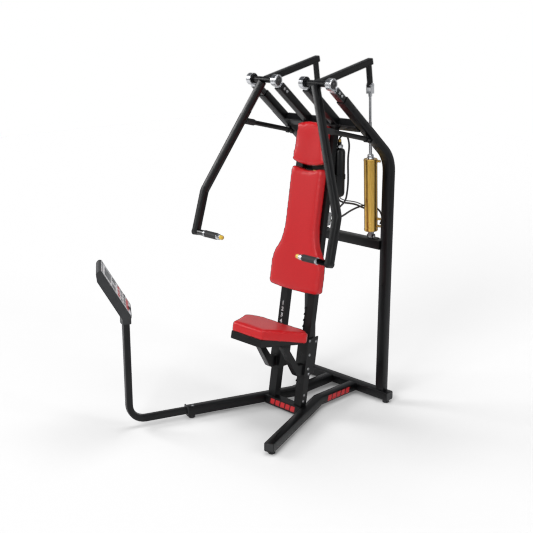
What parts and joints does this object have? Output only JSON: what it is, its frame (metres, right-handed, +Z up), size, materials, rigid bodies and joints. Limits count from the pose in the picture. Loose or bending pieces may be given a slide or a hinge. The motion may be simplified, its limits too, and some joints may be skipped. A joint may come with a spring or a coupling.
{
  "type": "seated chest press machine",
  "caption": "Seated chest press machine with independent lever arms, gold air cylinders, red reclined pads, height-adjustable seat and a display console on a side mast.",
  "frame": {"origin": "middle of the whole footprint, at floor level", "axes": "+Z up; the user sits facing -Y; +X is the user's left"},
  "size_m": [1.1991, 1.5603, 2.055],
  "materials": {
    "black_paint": "satin black powder coat",
    "bright_metal": "polished plate",
    "plain_steel": "turned bar",
    "gold_cylinder": "gold anodised",
    "red_vinyl": "smooth upholstery vinyl over foam and board",
    "black_rubber": "matt rubber",
    "yellow_plastic": "moulded, slight gloss",
    "console_shell": "moulded, fine texture",
    "hose_rubber": "smooth hose"
  },
  "bodies": {
    "frame": {"rear_cross_beam": "black_paint", "side_rail_left": "black_paint", "side_rail_right": "black_paint", "front_cross_beam": "black_paint", "rear_foot_left": "black_rubber", "rear_foot_right": "black_rubber", "front_foot_left": "black_rubber", "front_foot_right": "black_rubber", "post_left": "black_paint", "post_right": "black_paint", "inner_arm_left": "black_paint", "inner_arm_right": "black_paint", "upper_cross_beam": "black_paint", "mid_cross_beam": "black_paint", "outer_bearing_left": "bright_metal", "outer_bearing_right": "bright_metal", "inner_bearing_left": "bright_metal", "inner_bearing_right": "bright_metal", "pivot_shaft_left": "plain_steel", "pivot_shaft_right": "plain_steel", "cylinder_bracket_left": "black_paint", "cylinder_bracket_right": "black_paint", "stop_rod_left": "black_paint", "stop_rod_right": "black_paint", "stop_bumper_left": "black_rubber", "stop_bumper_right": "black_rubber", "back_pad": "red_vinyl", "head_pad": "red_vinyl", "back_column_left": "black_paint", "back_column_right": "black_paint", "seat_rack": "black_paint", "pad_cross_plate": "black_paint", "air_tank": "black_paint", "tank_bracket": "black_paint", "valve_block": "plain_steel", "tank_hose": "hose_rubber", "press_hose_left": "hose_rubber", "press_hose_right": "hose_rubber"},
    "arm_left": {"press_arm_left": "black_paint", "pivot_barrel_left": "black_paint", "lever_left": "black_paint", "handle_bar_left": "bright_metal", "handle_grip_left": "black_rubber"},
    "button_left": {"thumb_button_left": "yellow_plastic"},
    "cylinder_body_left": {"cylinder_left": "gold_cylinder"},
    "rod_left": {"piston_rod_left": "bright_metal"},
    "arm_right": {"press_arm_right": "black_paint", "pivot_barrel_right": "black_paint", "lever_right": "black_paint", "handle_bar_right": "bright_metal", "handle_grip_right": "black_rubber"},
    "button_right": {"thumb_button_right": "yellow_plastic"},
    "cylinder_body_right": {"cylinder_right": "gold_cylinder"},
    "rod_right": {"piston_rod_right": "bright_metal"},
    "seat": {"seat_pad": "red_vinyl", "seat_tray": "black_paint", "seat_bracket_left": "black_paint", "seat_bracket_right": "black_paint"},
    "console": {"console_tube": "black_paint", "console_housing": "console_shell"}
  },
  "joints": [
    {"name": "press_left", "type": "hinge", "parent": "frame", "child": "arm_left", "pos_m": [0.2576, 0.22495, 1.938], "axis": [-1, 0, 0], "range_deg": [0, 30], "stiffness_Nm_per_rad": 14, "springref_deg": -68.75},
    {"name": "cylinder_tilt_left", "type": "hinge", "parent": "frame", "child": "cylinder_body_left", "pos_m": [0.2576, 0.71795, 1.021], "axis": [1, 0, 0], "range_deg": [0, 7.78]},
    {"name": "rod_slide_left", "type": "slide", "parent": "cylinder_body_left", "child": "rod_left", "axis": [0, -0.0546, 0.9985], "range_m": [-0.2106, 0]},
    {"name": "thumb_button_press_left", "type": "slide", "parent": "arm_left", "child": "button_left", "axis": [1, 0, 0], "range_m": [0, 0.005], "stiffness_N_per_m": 400, "springref_m": -0.004},
    {"name": "press_right", "type": "hinge", "parent": "frame", "child": "arm_right", "pos_m": [-0.1424, 0.22495, 1.938], "axis": [-1, 0, 0], "range_deg": [0, 30], "stiffness_Nm_per_rad": 14, "springref_deg": -68.75},
    {"name": "cylinder_tilt_right", "type": "hinge", "parent": "frame", "child": "cylinder_body_right", "pos_m": [-0.1424, 0.71795, 1.021], "axis": [1, 0, 0], "range_deg": [0, 7.78]},
    {"name": "rod_slide_right", "type": "slide", "parent": "cylinder_body_right", "child": "rod_right", "axis": [0, -0.0546, 0.9985], "range_m": [-0.2106, 0]},
    {"name": "thumb_button_press_right", "type": "slide", "parent": "arm_right", "child": "button_right", "axis": [-1, 0, 0], "range_m": [0, 0.005], "stiffness_N_per_m": 400, "springref_m": -0.004},
    {"name": "seat_height", "type": "slide", "parent": "frame", "child": "seat", "axis": [0, 0.1582, 0.9874], "range_m": [-0.108, 0.144]},
    {"name": "console_reach", "type": "slide", "parent": "frame", "child": "console", "axis": [-0.3469, -0.9379, 0], "range_m": [-0.1, 0.04]}
  ],
  "couplings": [
    {"joint": "cylinder_tilt_left", "follows": "press_left", "ratio": 0.2492},
    {"joint": "rod_slide_left", "follows": "press_left", "m_per_rad": -0.39646},
    {"joint": "cylinder_tilt_right", "follows": "press_right", "ratio": 0.2492},
    {"joint": "rod_slide_right", "follows": "press_right", "m_per_rad": -0.39646}
  ]
}
